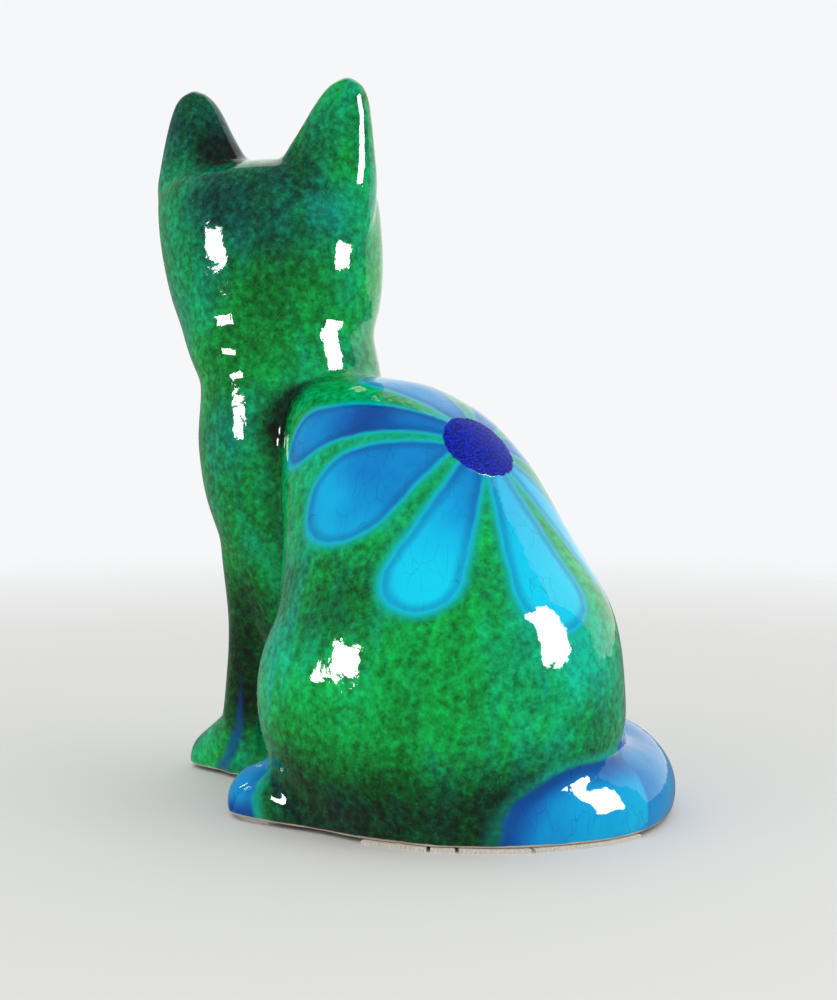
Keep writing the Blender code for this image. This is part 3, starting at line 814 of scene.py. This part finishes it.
class Tree:
    """Short ways to build a material's nodes."""

    def __init__(self, name):
        self.material = bpy.data.materials.new(name)
        self.material.use_nodes = True
        self.nodes = self.material.node_tree.nodes
        self.links = self.material.node_tree.links
        self.shader = self.nodes['Principled BSDF']
        self.place = self.nodes.new('ShaderNodeTexCoord').outputs['Object']

    def put(self, socket, value):
        if isinstance(value, bpy.types.NodeSocket):
            self.links.new(value, socket)
        elif value is not None:
            socket.default_value = value

    def math(self, operation, a, b=None, c=None):
        node = self.nodes.new('ShaderNodeMath')
        node.operation = operation
        for socket, value in zip(node.inputs, (a, b, c)):
            self.put(socket, value)
        return node.outputs[0]

    def step(self, value, low, high, start=0.0, end=1.0):
        node = self.nodes.new('ShaderNodeMapRange')
        node.interpolation_type = 'SMOOTHSTEP'
        names = ('Value', 'From Min', 'From Max', 'To Min', 'To Max')
        for name, number in zip(names, (value, low, high, start, end)):
            self.put(node.inputs[name], number)
        return node.outputs['Result']

    def blend(self, share, a, b):
        node = self.nodes.new('ShaderNodeMix')
        node.data_type = 'RGBA'
        self.put(node.inputs[0], share)
        self.put(node.inputs[6], a)
        self.put(node.inputs[7], b)
        return node.outputs[2]

    def colours(self, value, stops):
        """A colour ramp through stops of position, green and blue, with no red."""
        node = self.nodes.new('ShaderNodeValToRGB')
        self.put(node.inputs[0], value)
        marks = node.color_ramp.elements
        marks.remove(marks[1])
        for position, green, blue in stops:
            mark = marks.new(position) if position else marks[0]
            mark.position = position
            mark.color = (0, green, blue, 1)
        return node.outputs[0]

    def stretched(self, x, y, z):
        node = self.nodes.new('ShaderNodeMapping')
        self.put(node.inputs['Vector'], self.place)
        node.inputs['Scale'].default_value = (x, y, z)
        return node.outputs[0]

    def noise(self, scale, detail=3.0, roughness=0.5, vector=None, warp=0.0):
        node = self.nodes.new('ShaderNodeTexNoise')
        self.put(node.inputs['Vector'], vector or self.place)
        node.inputs['Scale'].default_value = scale
        node.inputs['Detail'].default_value = detail
        node.inputs['Roughness'].default_value = roughness
        node.inputs['Distortion'].default_value = warp
        return node.outputs['Fac']

    def centred(self, noise, strength):
        """Noise that lies evenly about zero."""
        about_zero = self.math('SUBTRACT', noise, 0.5)
        return self.math('MULTIPLY', about_zero, strength)

    def cells(self, scale, feature='F1', vector=None):
        node = self.nodes.new('ShaderNodeTexVoronoi')
        node.feature = feature
        self.put(node.inputs['Vector'], vector or self.place)
        node.inputs['Scale'].default_value = scale
        return node.outputs['Distance']

    def layer(self, name):
        node = self.nodes.new('ShaderNodeAttribute')
        node.attribute_name = name
        return node.outputs['Fac']

    def height(self):
        node = self.nodes.new('ShaderNodeSeparateXYZ')
        self.put(node.inputs[0], self.place)
        return node.outputs['Z']

    def bump(self, height, distance, normal=None):
        node = self.nodes.new('ShaderNodeBump')
        self.put(node.inputs['Height'], height)
        node.inputs['Distance'].default_value = distance
        self.put(node.inputs['Normal'], normal)
        return node.outputs[0]


# How a glaze deepens, as stops of position, green and blue
LEAF = [
    (0.00, 0.680, 0.120), (0.20, 0.430, 0.062), (0.40, 0.220, 0.026),
    (0.60, 0.095, 0.010), (0.80, 0.034, 0.004), (1.00, 0.006, 0.001)]
TEAL = [
    (0.00, 0.640, 0.440), (0.20, 0.420, 0.290), (0.40, 0.220, 0.160),
    (0.60, 0.100, 0.078), (0.80, 0.038, 0.034), (1.00, 0.006, 0.008)]
BLUE = [
    (0.00, 0.050, 0.280), (0.15, 0.090, 0.400), (0.35, 0.210, 0.600),
    (0.55, 0.370, 0.770), (0.75, 0.550, 0.890), (1.00, 0.700, 0.970)]
TURQUOISE = (0.000, 0.460, 0.300, 1)
SKY = (0.000, 0.520, 0.780, 1)
DEEP_BLUE = (0.000, 0.080, 0.300, 1)
COBALT = (0.000, 0.022, 0.760, 1)
INK = (0.000, 0.006, 0.080, 1)
CLAY = (0.700, 0.590, 0.440, 1)
CLAY_SHADE = (0.60, 0.49, 0.35, 1)
CLAY_FLECK = (0.33, 0.24, 0.16, 1)
FELT_LIGHT = (0.95, 0.92, 0.84, 1)
FELT_SHADE = (0.70, 0.64, 0.52, 1)
FELT_STAIN = (0.55, 0.42, 0.26, 1)
FLOOR_COLOUR = (0.83, 0.82, 0.80, 1)

# The green's mottling, from broad to fine: noise scale, detail, roughness and strength
MOTTLES = [(24, 2, 0.5, 0.36), (105, 3, 0.6, 0.46), (290, 2, 0.5, 0.72), (700, 2, 0.6, 0.30)]
GLAZE_ROUGHNESS = 0.045
GLAZE_IOR = 1.52


def green_ground(tree):
    """The green with its clouds, runs and mottling, and how thickly it lies, together with the painted
    shade near the foot, behind the neck and in the haunch creases.
    """
    thickness_and_shade = tree.layer('thickness_and_shade')
    for scale, detail, roughness, strength in MOTTLES:
        thickness_and_shade = tree.math('ADD', thickness_and_shade, tree.centred(tree.noise(scale, detail, roughness), strength))
    runs = tree.noise(52, 4, 0.6, tree.stretched(1, 1, 0.30), 0.5)
    teal = tree.math('ADD', tree.layer('teal'), tree.centred(runs, 1.5))
    leaf, sea = tree.colours(thickness_and_shade, LEAF), tree.colours(thickness_and_shade, TEAL)
    ground = tree.blend(tree.step(teal, 0.0, 1.0), leaf, sea)
    drops = tree.step(tree.cells(520), 0.24, 0.08)
    sparkle = tree.math('MULTIPLY', drops, tree.step(thickness_and_shade, 0.95, 0.55, 0.0, 0.34))
    return tree.blend(sparkle, ground, TURQUOISE), thickness_and_shade


def blue_painting(tree, blue, ground, thickness_and_shade, height):
    """The blue over the ground. A patch has a bright halo outside and a deep band inside its edge."""
    clouds = tree.centred(tree.noise(40, 3), 0.34)
    fill = tree.colours(tree.math('ADD', tree.layer('blue_light'), clouds), BLUE)
    band = tree.math('MULTIPLY', tree.step(blue, 0.0060, 0.0018), tree.step(blue, -0.0002, 0.0012))
    fill = tree.blend(tree.math('MULTIPLY', band, 0.44), fill, DEEP_BLUE)
    thin = tree.step(thickness_and_shade, 0.85, 0.35, 0.25, 0.80)
    halo = tree.math('MULTIPLY', tree.step(blue, -0.0058, -0.0010), thin)
    colour = tree.blend(halo, ground, TURQUOISE)
    above = tree.step(height, 0.040, 0.060)
    glow = tree.math('MULTIPLY', tree.step(blue, -0.0022, -0.0008, 0.0, 0.55), above)
    colour = tree.blend(glow, colour, SKY)
    return tree.blend(tree.step(blue, -0.0010, 0.0014), colour, fill)


def crackle(tree, blue):
    """How much a crack darkens the glaze. The cracks are mostly upright and clearest in the blue."""
    bent = tree.nodes.new('ShaderNodeVectorMath')
    bent.operation = 'MULTIPLY_ADD'
    shift = tree.nodes.new('ShaderNodeTexNoise')
    tree.put(shift.inputs['Vector'], tree.place)
    shift.inputs['Scale'].default_value = 60
    tree.put(bent.inputs[0], shift.outputs['Color'])
    bent.inputs[1].default_value = (0.007, 0.007, 0.007)
    tree.put(bent.inputs[2], tree.stretched(1, 1, 0.24))
    crack = tree.step(tree.cells(150, 'DISTANCE_TO_EDGE', bent.outputs[0]), 0.020, 0.002)
    broken = tree.step(tree.noise(75, 2), 0.37, 0.55)
    strength = tree.math('MULTIPLY', broken, tree.step(blue, -0.001, 0.002, 0.10, 0.34))
    return tree.math('MULTIPLY', crack, strength)


def glaze_surface(tree, disc, bare, speckle):
    """Gloss everywhere but on the grainy disc and the bare clay, over a slightly uneven surface."""
    dry = tree.math('MAXIMUM', tree.math('MULTIPLY', disc, 0.20), tree.math('MULTIPLY', bare, 0.80))
    tree.put(tree.shader.inputs['Roughness'], tree.math('ADD', dry, GLAZE_ROUGHNESS))
    tree.shader.inputs['IOR'].default_value = GLAZE_IOR
    dull = tree.math('MULTIPLY_ADD', disc, -0.44, 0.5)
    tree.put(tree.shader.inputs['Specular IOR Level'], dull)
    swell = tree.bump(tree.noise(44, 2, 0.4), 0.00055)
    ripple = tree.bump(tree.noise(120, 2, 0.5), 0.00018, swell)
    peel = tree.bump(tree.noise(260, 2, 0.5), 0.00007, ripple)
    grains = tree.math('MULTIPLY', tree.math('MAXIMUM', disc, bare), speckle)
    tree.put(tree.shader.inputs['Normal'], tree.bump(grains, 0.00035, peel))


def glaze_material():
    tree = Tree('painted_glaze')
    height = tree.height()
    wander = tree.math('SUBTRACT', tree.noise(95, 3), 0.5)

    def field(name, spread):
        """A painted distance whose edge has run a little in the kiln."""
        return tree.math('MULTIPLY_ADD', wander, spread, tree.layer(name))

    blue = field('blue', 0.0022)
    ground, thickness_and_shade = green_ground(tree)
    colour = blue_painting(tree, blue, ground, thickness_and_shade, height)
    lines = (
        (tree.step(field('leg_line', 0.0016), -0.0030, 0.0016, 0.0, 0.80), DEEP_BLUE),
        (tree.step(field('iris', 0.0006), -0.0002, 0.0004), SKY),
        (tree.step(field('face_line', 0.0006), -0.0003, 0.0003, 0.0, 0.95), INK))
    for share, line_colour in lines:
        colour = tree.blend(share, colour, line_colour)

    # The flower's disc is a thick, grainy cobalt.
    ragged = tree.math('SUBTRACT', tree.noise(420, 2), 0.5)
    disc_edge = tree.math('MULTIPLY_ADD', ragged, 0.0022, tree.layer('disc'))
    disc = tree.step(disc_edge, -0.0004, 0.0005)
    speckle = tree.noise(950, 3, 0.7)
    cobalt = tree.blend(tree.step(speckle, 0.38, 0.66), INK, COBALT)
    colour = tree.blend(disc, colour, cobalt)
    colour = tree.blend(crackle(tree, blue), colour, INK)

    # The glaze stops short of the foot and shows the clay.
    foot_edge = tree.math('MULTIPLY_ADD', wander, 0.0012, height)
    bare = tree.step(foot_edge, FOOT + 0.0013, FOOT + 0.0008)
    tree.put(tree.shader.inputs['Base Color'], tree.blend(bare, colour, CLAY))
    glaze_surface(tree, disc, bare, speckle)
    return tree.material


def clay_material():
    tree = Tree('bare_clay')
    tone = tree.blend(tree.step(tree.noise(60, 4), 0.3, 0.7), CLAY_SHADE, CLAY)
    tone = tree.blend(tree.step(tree.noise(900, 2), 0.62, 0.70, 0.0, 0.5), tone, CLAY_FLECK)
    tree.put(tree.shader.inputs['Base Color'], tone)
    tree.shader.inputs['Roughness'].default_value = 0.85
    tree.put(tree.shader.inputs['Normal'], tree.bump(tree.noise(700, 4, 0.7), 0.0003))
    return tree.material


def felt_material():
    tree = Tree('cream_felt')
    fibres = tree.noise(2600, 3, 0.7, tree.stretched(1, 0.35, 1), 1.2)
    crossing = tree.noise(2600, 3, 0.7, tree.stretched(0.35, 1, 1), 1.2)
    weave = tree.math('MAXIMUM', fibres, crossing)
    tone = tree.blend(tree.step(weave, 0.42, 0.68), FELT_SHADE, FELT_LIGHT)
    stain = tree.step(tree.noise(70, 3), 0.52, 0.75, 0.0, 0.35)
    tone = tree.blend(stain, tone, FELT_STAIN)
    tree.put(tree.shader.inputs['Base Color'], tone)
    tree.shader.inputs['Roughness'].default_value = 0.95
    tree.shader.inputs['Sheen Weight'].default_value = 0.35
    tree.put(tree.shader.inputs['Normal'], tree.bump(weave, 0.0004))
    return tree.material


def floor_material():
    """A pale matte floor that fades out at its rim, so that no horizon shows."""
    tree = Tree('pale_floor')
    tree.shader.inputs['Base Color'].default_value = FLOOR_COLOUR
    tree.shader.inputs['Roughness'].default_value = 0.9
    tree.shader.inputs['Specular IOR Level'].default_value = 0.1
    length = tree.nodes.new('ShaderNodeVectorMath')
    length.operation = 'LENGTH'
    tree.put(length.inputs[0], tree.place)
    tree.put(tree.shader.inputs['Alpha'], tree.step(length.outputs['Value'], 0.45, 1.25, 1.0, 0.0))
    return tree.material


# Felt, foot plate, floor, lights and camera -----------------------------------------------------

def dress_frame():
    felt, clay = felt_material(), clay_material()
    for name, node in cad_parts.items():
        if not name.startswith(('felt_strip', 'foot_plate')):
            continue
        node.data.materials.clear()
        node.data.materials.append(felt if name.startswith('felt') else clay)
        bevel = node.modifiers.new('soft edge', 'BEVEL')
        bevel.width = 0.0002
        bevel.segments = 2
        bevel.limit_method = 'ANGLE'


def lay_floor():
    mesh = bmesh.new()
    bmesh.ops.create_circle(mesh, cap_ends=True, segments=96, radius=FLOOR_RADIUS)
    floor = object_from('floor', mesh)
    floor.data.materials.append(floor_material())
    floor.visible_glossy = False


def light_the_world():
    """Light from all round, with its own strength for the camera and for the gloss."""
    world = bpy.data.worlds.new('studio')
    bpy.context.scene.world = world
    world.use_nodes = True
    nodes, links = world.node_tree.nodes, world.node_tree.links
    background = nodes['Background']
    background.inputs['Color'].default_value = DAYLIGHT
    rays = nodes.new('ShaderNodeLightPath')
    strength = None
    for ray, value in (('Is Camera Ray', BACKDROP), ('Is Glossy Ray', GLOSS)):
        step = nodes.new('ShaderNodeMath')
        step.operation = 'MULTIPLY_ADD'
        links.new(rays.outputs[ray], step.inputs[0])
        step.inputs[1].default_value = value - WORLD
        step.inputs[2].default_value = WORLD
        if strength is not None:
            links.new(strength, step.inputs[2])
        strength = step.outputs[0]
    links.new(strength, background.inputs['Strength'])


def soft_box(name, azimuth, elevation, width, height, radiance, mirrored, target):
    """A rectangular light seen from the target in a direction; azimuth 0 is in front of the cat.

    A mirrored light only shows in the gloss, and any other only lights the surface.
    """
    light = bpy.data.lights.new(name, 'AREA')
    light.shape = 'RECTANGLE'
    light.size, light.size_y = width, height
    light.energy = radiance * math.pi * width * height
    lamp = bpy.data.objects.new(name, light)
    a, e = math.radians(azimuth), math.radians(elevation)
    way = Vector((math.sin(a) * math.cos(e), -math.cos(a) * math.cos(e), math.sin(e)))
    lamp.location = target + way * LAMP_AWAY
    lamp.rotation_mode = 'QUATERNION'
    lamp.rotation_quaternion = way.to_track_quat('Z', 'Y')
    lamp.visible_camera = False
    lamp.visible_diffuse = not mirrored
    lamp.visible_glossy = mirrored
    bpy.context.scene.collection.objects.link(lamp)


def camera(place):
    back = Vector((math.sin(CAMERA_AZIMUTH), -math.cos(CAMERA_AZIMUTH), 0))
    data = bpy.data.cameras.new('camera')
    data.lens = FOCAL_LENGTH
    eye = bpy.data.objects.new('camera', data)
    eye.location = place + back * CAMERA_AWAY + Vector((0, 0, CAMERA_HEIGHT))
    eye.rotation_mode = 'QUATERNION'
    looks = -back * math.cos(CAMERA_TILT) - Vector((0, 0, 1)) * math.sin(CAMERA_TILT)
    eye.rotation_quaternion = looks.to_track_quat('-Z', 'Y')
    bpy.context.scene.collection.objects.link(eye)
    bpy.context.scene.camera = eye


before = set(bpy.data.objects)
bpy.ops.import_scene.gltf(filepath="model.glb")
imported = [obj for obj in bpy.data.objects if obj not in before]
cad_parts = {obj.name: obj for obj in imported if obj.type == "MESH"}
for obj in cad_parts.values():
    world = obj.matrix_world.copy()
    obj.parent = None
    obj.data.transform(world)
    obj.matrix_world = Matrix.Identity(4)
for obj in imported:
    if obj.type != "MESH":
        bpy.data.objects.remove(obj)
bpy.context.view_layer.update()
leg_low, leg_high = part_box('left_foreleg')
figure_place = Vector((leg_low[0] - LEG_SPLIT - HALF_GAP, leg_high[1] - LEG_BACK + HALF_GAP, 0))

camera(figure_place)
whole = fused_skin()
refine(whole)
cut_details(whole)
level_foot(whole)
paint(whole)
shells(whole, figure_place, glaze_material())
bpy.data.objects.remove(whole)
dress_frame()
lay_floor()
light_the_world()
for lamp_row in LAMPS:
    soft_box(*lamp_row, figure_place + Vector((0, 0, LIT_HEIGHT)))
bpy.context.scene.view_settings.view_transform = 'Standard'
